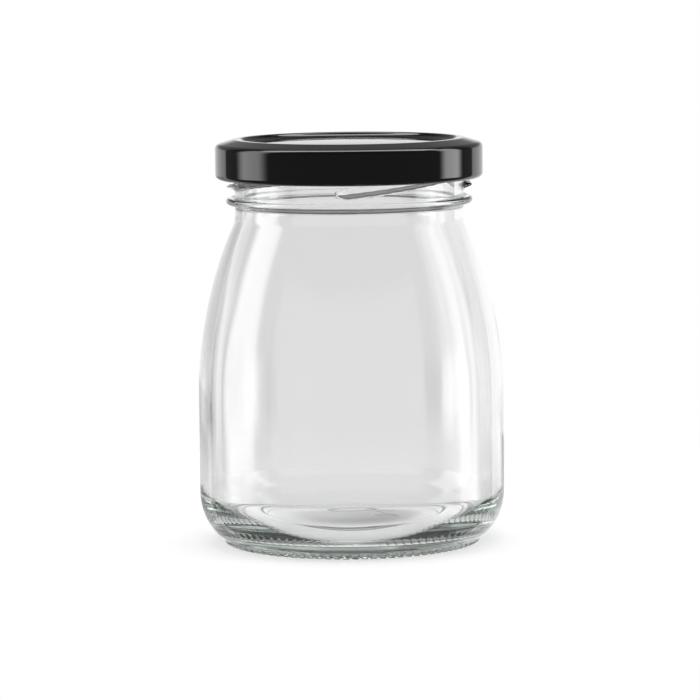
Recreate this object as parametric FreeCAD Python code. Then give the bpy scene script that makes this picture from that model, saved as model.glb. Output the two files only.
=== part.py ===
import FreeCAD, Part
import math
import os

# A glass pudding jar with a twist-off tinplate lid screwed on, empty.
# The origin is the middle of the ring that the jar stands on. +Z is up and -Y is the front.
# Lengths are in millimetres and angles in degrees.

# ------------------------------------------------------------------ driving sizes
OVERALL_HEIGHT = 190.0       # from the table to the top of the lid

# The glass: body and shoulder
BODY_DIAMETER = 143.8        # straight part of the wall, outside
BODY_WALL = 3.4
SHOULDER_RADIUS = 208.0      # one long arc from the straight wall to the neck
NECK_FILLET = 7.0            # hollow round where the shoulder meets the neck

# The glass: neck and finish, the part that carries the lid
NECK_DIAMETER = 107.2        # outside, below and above the bead
NECK_WALL = 3.6
RIM_ROUND = 1.5
BEAD_DROP = 10.2             # middle of the bead below the lid's lower edge
BEAD_PROJECTION = 4.2
BEAD_TIP_RADIUS = 1.6
BEAD_UPPER_FILLET = 1.0
BEAD_LOWER_FILLET = 2.0
NECK_STRAIGHT = 7.0          # bead's middle to the neck fillet's centre

# The glass: thread ridges, one for each start
THREAD_STARTS = 4
THREAD_LEAD = 39.0           # rise in one full turn
THREAD_SPAN = 84.0           # angle that one ridge covers
THREAD_FIRST_ANGLE = -96.6   # where the first ridge begins, from +X towards +Y
THREAD_DROP = 4.2            # a ridge's low end below the lid's lower edge
THREAD_PROJECTION = 3.9
THREAD_CREST_DEPTH = 0.7     # how far the rounded crest reaches down a flank
THREAD_CREST_HALF = 0.5
THREAD_UPPER_HALF = 1.3      # foot of the steep upper flank above the ridge's middle
THREAD_LOWER_HALF = 2.4      # foot of the long lower flank below it
THREAD_RUNOUT = 0.22         # share of a ridge that tapers away at each end
THREAD_TIP_SCALE = 0.2       # size of the section at a ridge's two tips
THREAD_ROOT = 1.2            # how deep a ridge is rooted in the neck's wall
THREAD_SECTIONS = 13

# The glass: heel, standing ring and push-up
HEEL_RADIUS = 28.0
FOOT_INSET = 11.2            # the standing ring's edge inside the body's wall
FOOT_ROUND = 1.6             # outer edge of the standing ring
RING_WIDTH = 4.0             # flat part that touches the table
RING_INNER_ROUND = 1.5
LEDGE_WIDTH = 9.4            # flat ledge between the standing ring and the push-up
LEDGE_RISE = 0.7
STEP_WIDTH = 1.2
STEP_RISE = 0.8
PUSH_UP_RISE = 2.0           # the push-up's middle above its edge
FLOOR_HEIGHT = 8.2           # inside floor at its edge
FLOOR_RISE = 3.5             # inside floor's middle above its edge
INNER_HEEL_START = 27.0      # height where the inside begins to close in
INNER_HEEL_RADIUS = 18.0
INNER_HEEL_LEAN = 33.0       # lean where that round changes to the wider one below it
LOWER_HEEL_RADIUS = 37.0
LOWER_HEEL_LEAN = 48.0       # lean of the short straight stretch below the wider round
FLOOR_ROUND = 3.6            # from the leaning stretch to the floor

# The lid
SHEET = 0.3
LID_HEIGHT = 18.7
CURL_RADIUS = 2.4            # outside of the rolled lower edge
CURL_CLEARANCE = 0.4         # between the curl and the thread's crest
CURL_ANGLE = 300.0           # how far the sheet is rolled round
CREST_SETBACK = 1.3          # the crest's flat begins this far outside the jar's mouth
CREST_WIDTH = 2.0            # flat of the crest, over the jar's rim
CREST_ROUND = 4.0            # round from the flat to the slope outside it
CREST_SLOPE = 16.0           # angle at which the sheet falls from the crest to the shoulder
LID_SHOULDER_RADIUS = 2.6
RECESS_UPPER_ROUND = 1.2
RECESS_LOWER_ROUND = 3.2
RECESS_ANGLE = 60.0          # the steepest place between the two rounds
PANEL_RISE = 0.8             # middle of the domed panel above its edge
SEAL_THICKNESS = 1.0         # sealing compound cast into the channel over the rim
SEAL_INSET = 0.2             # the compound's inner edge from the start of the crest's flat
LUG_THICKNESS = 1.4
LUG_LIFT = 0.3               # lug's underside above the lid's lower edge
LUG_ENGAGEMENT = 2.2         # how far a lug reaches in under a thread ridge
LUG_ROOT = 1.6               # how far a lug reaches into the curl
LUG_SPAN = 12.0
LUG_CLEARANCE = 0.2          # between a lug's top and the ridge above it

# ------------------------------------------------------------------ sizes that follow
body_radius = BODY_DIAMETER / 2
neck_radius = NECK_DIAMETER / 2
mouth_radius = neck_radius - NECK_WALL
thread_crest = neck_radius + THREAD_PROJECTION
lid_radius = thread_crest + CURL_CLEARANCE + 2 * CURL_RADIUS

lid_bottom = OVERALL_HEIGHT - LID_HEIGHT
rim_height = OVERALL_HEIGHT - SHEET - SEAL_THICKNESS
bead_height = lid_bottom - BEAD_DROP
neck_foot = bead_height - NECK_STRAIGHT
thread_start = lid_bottom - THREAD_DROP


# ------------------------------------------------------------------ outline helpers
def point(radius, height):
    """A point in the half plane that is turned about the jar's axis."""
    return FreeCAD.Vector(radius, 0, height)


def line(start, end):
    return Part.LineSegment(point(*start), point(*end)).toShape()


def polar(centre, radius, angle):
    """The point at an angle on a circle, from outwards (0) to upwards (90)."""
    turn = math.radians(angle)
    return (centre[0] + radius * math.cos(turn), centre[1] + radius * math.sin(turn))


def arc(centre, radius, start_angle, end_angle):
    middle_angle = (start_angle + end_angle) / 2
    places = [polar(centre, radius, angle) for angle in (start_angle, middle_angle, end_angle)]
    return Part.Arc(*[point(*place) for place in places]).toShape()


def cap_arc(edge_radius, edge_height, rise):
    """A shallow dome's outline from the axis to its edge, the rise higher in the middle."""
    sphere_radius = (edge_radius ** 2 + rise ** 2) / (2 * rise)
    half_angle = math.degrees(math.asin(edge_radius / sphere_radius))
    centre = (0, edge_height + rise - sphere_radius)
    return arc(centre, sphere_radius, 90, 90 - half_angle)


def turned(edges):
    """The solid that a closed outline makes when it is turned about the axis."""
    outline = Part.Wire(Part.__sortEdges__(edges))
    return Part.Face(outline).revolve(FreeCAD.Vector(0, 0, 0), FreeCAD.Vector(0, 0, 1), 360)


# ------------------------------------------------------------------ the glass jar
def shoulder_rise(neck, fillet, shoulder):
    """Height from the shoulder arc's centre up to the neck fillet's centre."""
    across = neck + fillet - (body_radius - SHOULDER_RADIUS)
    return math.sqrt((shoulder + fillet) ** 2 - across ** 2)


shoulder_height = neck_foot - shoulder_rise(neck_radius, NECK_FILLET, SHOULDER_RADIUS)


def wall_outline(offset, neck, low, high):
    """One face of the wall: straight body, shoulder arc, neck fillet, neck up to high.

    offset is how far the face lies inside the outer one.
    """
    body = body_radius - offset
    shoulder = SHOULDER_RADIUS - offset
    fillet = NECK_FILLET + offset
    rise = shoulder_rise(neck, fillet, shoulder)
    shoulder_centre = (body_radius - SHOULDER_RADIUS, shoulder_height)
    fillet_centre = (neck + fillet, shoulder_height + rise)
    lean = math.degrees(math.asin(rise / (shoulder + fillet)))
    return [
        line((body, low), (body, shoulder_height)),
        arc(shoulder_centre, shoulder, 0, lean),
        arc(fillet_centre, fillet, 180 + lean, 180),
        line((neck, fillet_centre[1]), (neck, high)),
    ]


def bead_outline():
    """The rounded ring below the thread, from the neck's face out and back.

    Returns its edges, its lowest height and its highest height.
    """
    centre = (neck_radius + BEAD_PROJECTION - BEAD_TIP_RADIUS, bead_height)
    edges = []
    ends = []
    turns = []
    for side, fillet in ((-1, BEAD_LOWER_FILLET), (1, BEAD_UPPER_FILLET)):
        across = neck_radius + fillet - centre[0]
        along = math.sqrt((BEAD_TIP_RADIUS + fillet) ** 2 - across ** 2)
        lean = math.degrees(math.atan2(along, across))
        fillet_centre = (neck_radius + fillet, bead_height + side * along)
        edges.append(arc(fillet_centre, fillet, 180, 180 + side * lean))
        ends.append(fillet_centre[1])
        turns.append(side * lean)
    edges.append(arc(centre, BEAD_TIP_RADIUS, *turns))
    return edges, ends[0], ends[1]


def heel_outline():
    """The heel's arc and the standing ring's rounded outer edge.

    Returns the edges, the height where the body's straight wall begins and the radius
    where the flat of the standing ring ends.
    """
    tuck = HEEL_RADIUS - FOOT_INSET
    drop = math.sqrt(HEEL_RADIUS ** 2 - tuck ** 2)
    heel_centre = (body_radius - HEEL_RADIUS, FOOT_ROUND + drop)
    foot_centre = (body_radius - FOOT_INSET - FOOT_ROUND, FOOT_ROUND)
    edges = [
        arc(heel_centre, HEEL_RADIUS, 0, -math.degrees(math.atan2(drop, tuck))),
        arc(foot_centre, FOOT_ROUND, 0, -90),
    ]
    return edges, heel_centre[1], foot_centre[0]


def base_outline(ring_outer):
    """The underside: standing ring, ledge, step and the domed push-up in the middle."""
    ring_inner = ring_outer - RING_WIDTH
    ledge_outer = ring_inner - RING_INNER_ROUND
    ledge_inner = ledge_outer - LEDGE_WIDTH
    ledge_top = RING_INNER_ROUND + LEDGE_RISE
    push_up_edge = (ledge_inner - STEP_WIDTH, ledge_top + STEP_RISE)
    return [
        line((ring_outer, 0), (ring_inner, 0)),
        arc((ring_inner, RING_INNER_ROUND), RING_INNER_ROUND, 270, 180),
        line((ledge_outer, RING_INNER_ROUND), (ledge_inner, ledge_top)),
        line((ledge_inner, ledge_top), push_up_edge),
        cap_arc(push_up_edge[0], push_up_edge[1], PUSH_UP_RISE),
        line((0, push_up_edge[1] + PUSH_UP_RISE), (0, FLOOR_HEIGHT + FLOOR_RISE)),
    ]


def inside_outline():
    """The hollow: domed floor, inner heel, wall, neck and the rim's rounded top."""
    inner_radius = body_radius - BODY_WALL
    heel_centre = (inner_radius - INNER_HEEL_RADIUS, INNER_HEEL_START)
    heel_change = polar(heel_centre, INNER_HEEL_RADIUS, -INNER_HEEL_LEAN)
    lower_centre = polar(heel_change, LOWER_HEEL_RADIUS, 180 - INNER_HEEL_LEAN)
    lean_top = polar(lower_centre, LOWER_HEEL_RADIUS, -LOWER_HEEL_LEAN)
    round_reach = polar((0, FLOOR_ROUND), FLOOR_ROUND, -LOWER_HEEL_LEAN)
    lean_low_height = FLOOR_HEIGHT + round_reach[1]
    closing = (lean_top[1] - lean_low_height) * math.tan(math.radians(LOWER_HEEL_LEAN))
    lean_low = (lean_top[0] - closing, lean_low_height)
    floor_edge = lean_low[0] - round_reach[0]
    rim_round_height = rim_height - RIM_ROUND
    floor = [
        cap_arc(floor_edge, FLOOR_HEIGHT, FLOOR_RISE),
        arc((floor_edge, FLOOR_HEIGHT + FLOOR_ROUND), FLOOR_ROUND, -90, -LOWER_HEEL_LEAN),
        line(lean_low, lean_top),
        arc(lower_centre, LOWER_HEEL_RADIUS, -LOWER_HEEL_LEAN, -INNER_HEEL_LEAN),
        arc(heel_centre, INNER_HEEL_RADIUS, -INNER_HEEL_LEAN, 0),
    ]
    rim = [
        arc((mouth_radius + RIM_ROUND, rim_round_height), RIM_ROUND, 180, 90),
        line((mouth_radius + RIM_ROUND, rim_height), (neck_radius - RIM_ROUND, rim_height)),
        arc((neck_radius - RIM_ROUND, rim_round_height), RIM_ROUND, 90, 0),
    ]
    return floor + wall_outline(BODY_WALL, mouth_radius, heel_centre[1], rim_round_height) + rim


def thread_height(angle):
    """Height of a ridge's middle at an angle past its low end."""
    return thread_start + THREAD_LEAD * angle / 360


def thread_lower_flank(radius):
    """How far below its middle a ridge reaches at a radius."""
    reach = THREAD_PROJECTION - THREAD_CREST_DEPTH
    share = (radius - neck_radius) / reach
    return THREAD_LOWER_HALF + (THREAD_CREST_HALF - THREAD_LOWER_HALF) * share


def thread_section(share, first_angle):
    """A ridge's closed section at a share of its length, tapering at both ends."""
    angle = THREAD_SPAN * share
    runout = min(1, share / THREAD_RUNOUT, (1 - share) / THREAD_RUNOUT)
    scale = THREAD_TIP_SCALE + (1 - THREAD_TIP_SCALE) * math.sin(math.radians(90 * runout))
    height = thread_height(angle)
    root = neck_radius - THREAD_ROOT
    shoulder = neck_radius + (THREAD_PROJECTION - THREAD_CREST_DEPTH) * scale
    low = height - THREAD_LOWER_HALF * scale
    high = height + THREAD_UPPER_HALF * scale
    crest_half = THREAD_CREST_HALF * scale
    crest = Part.Arc(
        point(shoulder, height - crest_half),
        point(neck_radius + THREAD_PROJECTION * scale, height),
        point(shoulder, height + crest_half),
    ).toShape()
    section = Part.Wire([
        line((root, low), (neck_radius, low)),
        line((neck_radius, low), (shoulder, height - crest_half)),
        crest,
        line((shoulder, height + crest_half), (neck_radius, high)),
        line((neck_radius, high), (root, high)),
        line((root, high), (root, low)),
    ])
    section.rotate(FreeCAD.Vector(0, 0, 0), FreeCAD.Vector(0, 0, 1), first_angle + angle)
    return section


def thread_ridge(first_angle):
    steps = THREAD_SECTIONS - 1
    sections = [thread_section(step / steps, first_angle) for step in range(THREAD_SECTIONS)]
    return Part.makeLoft(sections, True, False)


def thread_angles():
    """Where each ridge begins."""
    return [THREAD_FIRST_ANGLE + 360 * start / THREAD_STARTS for start in range(THREAD_STARTS)]


def glass_jar():
    heel, body_low, ring_outer = heel_outline()
    bead, bead_low, bead_high = bead_outline()
    edges = base_outline(ring_outer) + heel
    edges += wall_outline(0, neck_radius, body_low, bead_low) + bead
    edges.append(line((neck_radius, bead_high), (neck_radius, rim_height - RIM_ROUND)))
    edges += inside_outline()
    ridges = [thread_ridge(angle) for angle in thread_angles()]
    return turned(edges).multiFuse(ridges).removeSplitter()


# ------------------------------------------------------------------ the lid
# The crest's flat lies between these two radii, over the jar's rim.
crest_inner = mouth_radius + CREST_SETBACK
crest_outer = crest_inner + CREST_WIDTH
crest_centre = (crest_outer, OVERALL_HEIGHT - CREST_ROUND)


def lid_sheet():
    """The pressed sheet: domed panel, recess, crest, slope, skirt and rolled lower edge."""
    upper_centre = (crest_inner, OVERALL_HEIGHT - RECESS_UPPER_ROUND)
    lean = 90 + RECESS_ANGLE
    lower_centre = polar(upper_centre, RECESS_UPPER_ROUND + RECESS_LOWER_ROUND, lean)
    panel_height = lower_centre[1] - RECESS_LOWER_ROUND

    slope_normal = 90 - CREST_SLOPE
    slope_top = polar(crest_centre, CREST_ROUND, slope_normal)
    shoulder_reach = polar((lid_radius - LID_SHOULDER_RADIUS, 0), LID_SHOULDER_RADIUS, slope_normal)
    fall = (shoulder_reach[0] - slope_top[0]) * math.tan(math.radians(CREST_SLOPE))
    slope_low = (shoulder_reach[0], slope_top[1] - fall)
    shoulder_low = slope_low[1] - shoulder_reach[1]
    curl_centre = (lid_radius - CURL_RADIUS, lid_bottom + CURL_RADIUS)
    outer_face = Part.Wire([
        cap_arc(lower_centre[0], panel_height, PANEL_RISE),
        arc(lower_centre, RECESS_LOWER_ROUND, -90, lean - 180),
        arc(upper_centre, RECESS_UPPER_ROUND, lean, 90),
        line((crest_inner, OVERALL_HEIGHT), (crest_outer, OVERALL_HEIGHT)),
        arc(crest_centre, CREST_ROUND, 90, slope_normal),
        line(slope_top, slope_low),
        arc((lid_radius - LID_SHOULDER_RADIUS, shoulder_low), LID_SHOULDER_RADIUS,
            slope_normal, 0),
        line((lid_radius, shoulder_low), (lid_radius, curl_centre[1])),
        arc(curl_centre, CURL_RADIUS, 0, -CURL_ANGLE),
    ])
    section = outer_face.makeOffset2D(-SHEET, 0, True, True)
    return turned(section.OuterWire.Edges)


def seal():
    """The compound under the crest: its flat underside is what presses on the rim."""
    inner = crest_inner + SEAL_INSET
    bond = CREST_ROUND - SHEET / 2
    outer, outer_top = polar(crest_centre, bond, 90 - CREST_SLOPE)
    top = OVERALL_HEIGHT - SHEET / 2
    return turned([
        line((inner, rim_height), (outer, rim_height)),
        line((outer, rim_height), (outer, outer_top)),
        arc(crest_centre, bond, 90 - CREST_SLOPE, 90),
        line((crest_outer, top), (inner, top)),
        line((inner, top), (inner, rim_height)),
    ])


def lug(thread_angle):
    """A lug pressed inwards from the curl, just under the thread ridge above it."""
    tip = thread_crest - LUG_ENGAGEMENT
    root = thread_crest + CURL_CLEARANCE + LUG_ROOT
    low = lid_bottom + LUG_LIFT
    tip_round = LUG_THICKNESS / 2
    tip_centre = (tip + tip_round, low + tip_round)
    section = Part.Wire([
        line((root, low), (tip_centre[0], low)),
        arc(tip_centre, tip_round, 270, 90),
        line((tip_centre[0], low + LUG_THICKNESS), (root, low + LUG_THICKNESS)),
        line((root, low + LUG_THICKNESS), (root, low)),
    ])
    ridge_height = low + LUG_THICKNESS + LUG_CLEARANCE + thread_lower_flank(tip)
    start_angle = thread_angle + (ridge_height - thread_start) * 360 / THREAD_LEAD
    face = Part.Face(section)
    face.rotate(FreeCAD.Vector(0, 0, 0), FreeCAD.Vector(0, 0, 1), start_angle)
    return face.revolve(FreeCAD.Vector(0, 0, 0), FreeCAD.Vector(0, 0, 1), LUG_SPAN)


def lid():
    lugs = [lug(angle) for angle in thread_angles()]
    return lid_sheet().multiFuse([seal()] + lugs).removeSplitter()


# ------------------------------------------------------------------ the part's pieces
PIECES = {"glass_jar": glass_jar, "lid": lid}


def main():
    os.makedirs("parts", exist_ok=True)
    for name, make in PIECES.items():
        shape = make()
        shape.exportStep("parts/" + name + ".step")
        print(name, len(shape.Solids), "solid, valid", shape.isValid(), round(shape.Volume), "mm3")


main()
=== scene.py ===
# %% [markdown]
# # An empty glass pudding jar with a black twist-off lid
# The jar is pressed and blown from clear soda-lime glass, and its lid is stamped from tinplate
# that was lacquered black before it was pressed. Both are round, so both are made here in the
# same way: one outline, turned about the jar's axis by a Geometry Nodes tree. The tree also
# adds what repeats around the axis. On the glass those are the thread ridges and the knurls
# of the standing ring, and on the lid the four lugs that hook under the threads.

# %% Load the fixed frame
import math

import bmesh
import bpy
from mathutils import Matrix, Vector


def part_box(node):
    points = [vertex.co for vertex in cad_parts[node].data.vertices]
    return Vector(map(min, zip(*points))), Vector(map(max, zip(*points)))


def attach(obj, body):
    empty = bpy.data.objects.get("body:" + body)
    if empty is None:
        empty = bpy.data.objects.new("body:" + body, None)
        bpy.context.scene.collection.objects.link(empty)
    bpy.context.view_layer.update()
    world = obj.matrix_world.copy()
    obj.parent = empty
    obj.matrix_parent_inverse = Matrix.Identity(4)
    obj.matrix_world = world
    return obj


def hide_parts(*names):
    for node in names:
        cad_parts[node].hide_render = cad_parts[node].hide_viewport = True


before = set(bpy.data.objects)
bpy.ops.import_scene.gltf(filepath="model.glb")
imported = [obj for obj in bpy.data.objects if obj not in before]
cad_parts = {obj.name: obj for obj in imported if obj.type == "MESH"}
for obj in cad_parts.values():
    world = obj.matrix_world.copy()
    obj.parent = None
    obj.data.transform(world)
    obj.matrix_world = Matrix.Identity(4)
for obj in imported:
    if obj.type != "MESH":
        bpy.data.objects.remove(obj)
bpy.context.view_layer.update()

MM = 0.001
jar_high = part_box("glass_jar")[1]
lid_low, lid_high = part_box("lid")
body_radius = jar_high.x / MM
rim_height = jar_high.z / MM
lid_radius = lid_high.x / MM
lid_bottom = lid_low.z / MM
lid_top = lid_high.z / MM
print("body radius", round(body_radius, 2), "rim", round(rim_height, 2), "mm")
print("lid radius", round(lid_radius, 2), "from", round(lid_bottom, 2), "to", round(lid_top, 2))

# %% [markdown]
# ## One helper for nodes
# Materials, the world and the Geometry Nodes trees are all node trees. One small function adds
# a node, sets its properties and fills its sockets, so that each step below is one short call.
# A socket is named by its number or its label, and takes a plain value or another node.

# %% Add a node
def add(tree, kind, inputs=None, **settings):
    made = tree.nodes.new(kind)
    for name, value in settings.items():
        setattr(made, name, value)
    for key, value in (inputs or {}).items():
        if isinstance(value, bpy.types.Node):
            value = value.outputs[0]
        if isinstance(value, bpy.types.NodeSocket):
            tree.links.new(value, made.inputs[key])
        else:
            made.inputs[key].default_value = value
    return made


def linear(hex_code):
    """An sRGB colour written as six hex digits, as the linear colour that a shader takes."""
    parts = [int(hex_code[i:i + 2], 16) / 255 for i in (0, 2, 4)]
    bent = [p / 12.92 if p <= 0.04045 else ((p + 0.055) / 1.055) ** 2.4 for p in parts]
    return (*bent, 1.0)


# %% [markdown]
# ## The outline of a turned piece
# A jar mould is cut on a lathe, so its drawing is a chain of lines and arcs on one side of the
# axis. The class below keeps such a chain as points in millimetres. With each point it keeps
# how strongly the three kinds of relief act there: `ridge` for threads and lugs, `notch` for
# knurls and `wave` for the uneven inside of blown glass. `lining` marks a second material.

# %% A chain of lines and arcs
def polar(centre, radius, angle):
    """The point at an angle on a circle, from outwards (0) to upwards (90)."""
    turn = math.radians(angle)
    return (centre[0] + radius * math.cos(turn), centre[1] + radius * math.sin(turn))


class Outline:
    def __init__(self, radius, height):
        self.points = []
        self.relief = []
        self.put(radius, height)

    def put(self, radius, height, ridge=0.0, notch=(0.0, 0.0), wave=0.0, lining=0.0):
        self.points.append((radius, height))
        self.relief.append((ridge, notch, wave, lining))

    def line(self, radius, height, steps=1, **relief):
        start = self.points[-1]
        for step in range(1, steps + 1):
            share = step / steps
            across = start[0] + (radius - start[0]) * share
            self.put(across, start[1] + (height - start[1]) * share, **relief)

    def arc(self, centre, radius, start, end, steps, **relief):
        """The first point of the arc is already there."""
        for step in range(1, steps + 1):
            turn = start + (end - start) * step / steps
            self.put(*polar(centre, radius, turn), **relief)

    def turn_round(self):
        """The same outline from its other end, which turns the skin's faces over."""
        self.points.reverse()
        self.relief.reverse()

    def as_object(self, name):
        """The outline as a chain of edges in metres, with its relief as attributes."""
        mesh = bpy.data.meshes.new(name)
        places = [(r * MM, 0, z * MM) for r, z in self.points]
        mesh.from_pydata(places, [(i, i + 1) for i in range(len(places) - 1)], [])
        kinds = (("ridge", "FLOAT", 0), ("wave", "FLOAT", 2), ("lining", "FLOAT", 3))
        for title, kind, column in kinds:
            values = mesh.attributes.new(title, kind, "POINT").data
            values.foreach_set("value", [entry[column] for entry in self.relief])
        notches = [(entry[1][0], 0, entry[1][1]) for entry in self.relief]
        vectors = mesh.attributes.new("notch", "FLOAT_VECTOR", "POINT").data
        vectors.foreach_set("vector", [part for notch in notches for part in notch])
        made = bpy.data.objects.new(name, mesh)
        bpy.context.scene.collection.objects.link(made)
        return made


# %% [markdown]
# ## The tree that turns an outline
# A Screw modifier could turn the outline too, but then each knurl and thread ridge would be a
# separate body of glass inside the wall, and light would bend at surfaces that aren't there.
# So the tree lays a plain grid over the outline, one column for each step around the axis,
# and works out where each grid point goes: the outline's radius, plus the relief at that
# angle. The result is one closed skin, which glass needs.

# %% The turning tree: its named sizes
turning = bpy.data.node_groups.new("turn about the axis", "GeometryNodeTree")
TURNING_INPUTS = {
    "Outline": "NodeSocketGeometry",
    "Marks": "NodeSocketObject",
    "Steps Around": "NodeSocketInt",
    "Ridge Starts": "NodeSocketInt",
    "Ridge First Angle": "NodeSocketFloat",
    "Ridge Span": "NodeSocketFloat",
    "Ridge Lead": "NodeSocketFloat",
    "Ridge Height": "NodeSocketFloat",
    "Ridge Projection": "NodeSocketFloat",
    "Ridge Upper Reach": "NodeSocketFloat",
    "Ridge Lower Reach": "NodeSocketFloat",
    "Ridge Runout": "NodeSocketFloat",
    "Notch Count": "NodeSocketInt",
    "Notch Depth": "NodeSocketFloat",
    "Notch Slant": "NodeSocketFloat",
    "Notch Crowding": "NodeSocketFloat",
    "Wave Height": "NodeSocketFloat",
    "Wave Size": "NodeSocketFloat",
    "Wave Seed": "NodeSocketFloat",
    "Mark Height": "NodeSocketFloat",
    "Mark Width": "NodeSocketFloat",
    "Material": "NodeSocketMaterial",
    "Lining": "NodeSocketMaterial",
}
identifiers = {}
for title, kind in TURNING_INPUTS.items():
    socket = turning.interface.new_socket(title, in_out="INPUT", socket_type=kind)
    identifiers[title] = socket.identifier
turning.interface.new_socket("Geometry", in_out="OUTPUT", socket_type="NodeSocketGeometry")
size = add(turning, "NodeGroupInput").outputs
print("turning tree has", len(identifiers), "named inputs")

# %% The turning tree: a grid with one row for each outline point
count = add(turning, "GeometryNodeAttributeDomainSize", {0: size["Outline"]})
columns = add(turning, "ShaderNodeMath", {0: size["Steps Around"], 1: 1.0}, operation="ADD")
grid = add(turning, "GeometryNodeMeshGrid", {"Vertices X": columns, "Vertices Y": count})
index = add(turning, "GeometryNodeInputIndex")
row = add(turning, "ShaderNodeMath", {0: index, 1: count}, operation="FLOORED_MODULO")
column = add(turning, "ShaderNodeMath", {0: index, 1: count}, operation="DIVIDE")
column = add(turning, "ShaderNodeMath", {0: column}, operation="FLOOR")
turn = add(turning, "ShaderNodeMath", {0: column, 1: size["Steps Around"]}, operation="DIVIDE")

# %% The turning tree: what the outline says at this row
def from_outline(title, kind):
    """The outline's attribute at the grid point's row."""
    if title == "position":
        field = add(turning, "GeometryNodeInputPosition")
    else:
        field = add(turning, "GeometryNodeInputNamedAttribute", {"Name": title}, data_type=kind)
    inputs = {"Geometry": size["Outline"], "Value": field, "Index": row}
    return add(turning, "GeometryNodeSampleIndex", inputs, data_type=kind)


place = add(turning, "ShaderNodeSeparateXYZ", {0: from_outline("position", "FLOAT_VECTOR")})
radius, height = place.outputs["X"], place.outputs["Z"]
notch = add(turning, "ShaderNodeSeparateXYZ", {0: from_outline("notch", "FLOAT_VECTOR")})
ridge_share = from_outline("ridge", "FLOAT")
wave_share = from_outline("wave", "FLOAT")
lining_share = from_outline("lining", "FLOAT")

# %% [markdown]
# The columns needn't be evenly spaced. They crowd together where the steep sides of the knurls
# will be, so a few columns for each knurl are enough. They also lean with the radius, as the
# knurls do, so that a knurl's side always runs along the mesh and stays crisp.

# %% The turning tree: the angle of each column
even = add(turning, "ShaderNodeMath", {0: turn, 1: math.tau}, operation="MULTIPLY")
even = add(turning, "ShaderNodeMath", {0: even, 1: size["Notch Count"]}, operation="MULTIPLY")
crowd = add(turning, "ShaderNodeMath", {0: even}, operation="SINE")
phase = add(turning, "ShaderNodeMath", {0: crowd, 1: size["Notch Crowding"], 2: even},
            operation="MULTIPLY_ADD")
askew = add(turning, "ShaderNodeMath", {0: radius, 1: size["Notch Slant"]}, operation="MULTIPLY")
askew = add(turning, "ShaderNodeMath", {0: phase, 1: askew}, operation="SUBTRACT")
angle = add(turning, "ShaderNodeMath", {0: askew, 1: size["Notch Count"]}, operation="DIVIDE")

# %% [markdown]
# A thread ridge is a hump whose middle climbs with the angle. `past` is the angle since the
# ridge's low end, so the climb is the lead times `past`, and the distance from that line,
# up or down, gives the hump's height. Both ends fade away, as the mould cutter leaves them.

# %% The turning tree: thread ridges and lugs
pitch = add(turning, "ShaderNodeMath", {0: math.tau, 1: size["Ridge Starts"]}, operation="DIVIDE")
past = add(turning, "ShaderNodeMath", {0: angle, 1: size["Ridge First Angle"]},
           operation="SUBTRACT")
past = add(turning, "ShaderNodeMath", {0: past, 1: pitch}, operation="FLOORED_MODULO")
share = add(turning, "ShaderNodeMath", {0: past, 1: size["Ridge Span"]}, operation="DIVIDE")
rest = add(turning, "ShaderNodeMath", {0: 1.0, 1: share}, operation="SUBTRACT")
near_end = add(turning, "ShaderNodeMath", {0: share, 1: rest}, operation="MINIMUM")
fade = add(turning, "ShaderNodeMapRange", {"Value": near_end, "From Max": size["Ridge Runout"]},
           interpolation_type="SMOOTHERSTEP")
turns = add(turning, "ShaderNodeMath", {0: past, 1: math.tau}, operation="DIVIDE")
middle = add(turning, "ShaderNodeMath",
             {0: turns, 1: size["Ridge Lead"], 2: size["Ridge Height"]}, operation="MULTIPLY_ADD")
above = add(turning, "ShaderNodeMath", {0: height, 1: middle}, operation="SUBTRACT")
is_above = add(turning, "ShaderNodeMath", {0: above, 1: 0.0}, operation="GREATER_THAN")
reach = add(turning, "ShaderNodeMix", {"Factor": is_above, 2: size["Ridge Lower Reach"],
                                       3: size["Ridge Upper Reach"]})
slim = add(turning, "ShaderNodeMapRange", {"Value": fade, "To Min": 0.3})
reach = add(turning, "ShaderNodeMath", {0: reach, 1: slim}, operation="MULTIPLY")
away = add(turning, "ShaderNodeMath", {0: above}, operation="ABSOLUTE")
away = add(turning, "ShaderNodeMath", {0: away, 1: reach}, operation="DIVIDE")
CREST_FLAT = 0.12
hump = add(turning, "ShaderNodeMapRange", {"Value": away, "From Min": CREST_FLAT,
                                           "To Min": 1.0, "To Max": 0.0},
           interpolation_type="SMOOTHSTEP")
hump = add(turning, "ShaderNodeMath", {0: hump, 1: fade}, operation="MULTIPLY")
hump = add(turning, "ShaderNodeMath", {0: hump, 1: ridge_share}, operation="MULTIPLY")
ridge = add(turning, "ShaderNodeMath", {0: hump, 1: size["Ridge Projection"]},
            operation="MULTIPLY")

# %% [markdown]
# The knurls are short bars across the ring that the jar stands on. They keep the hot base from
# touching the conveyor all over. The bars stay at table height, and the grooves between them
# are cut into the glass, steep enough to catch the light.

# %% The turning tree: knurls
swing = add(turning, "ShaderNodeMath", {0: phase}, operation="COSINE")
bar = add(turning, "ShaderNodeMapRange", {"Value": swing, "From Min": -0.95, "From Max": -0.3,
                                          "To Min": 1.0, "To Max": 0.0})
depth = add(turning, "ShaderNodeMath", {0: bar, 1: size["Notch Depth"]}, operation="MULTIPLY")
cut_out = add(turning, "ShaderNodeMath", {0: depth, 1: notch.outputs["X"]}, operation="MULTIPLY")
cut_up = add(turning, "ShaderNodeMath", {0: depth, 1: notch.outputs["Z"]}, operation="MULTIPLY")

# %% [markdown]
# Blown glass has a true outside, pressed against the mould, and a free inside, which is never
# quite round. The inside waves by a third of a millimetre or so, more around than up and
# down, because the glass was stretched downwards. A smooth noise with a fixed seed does that.

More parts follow.
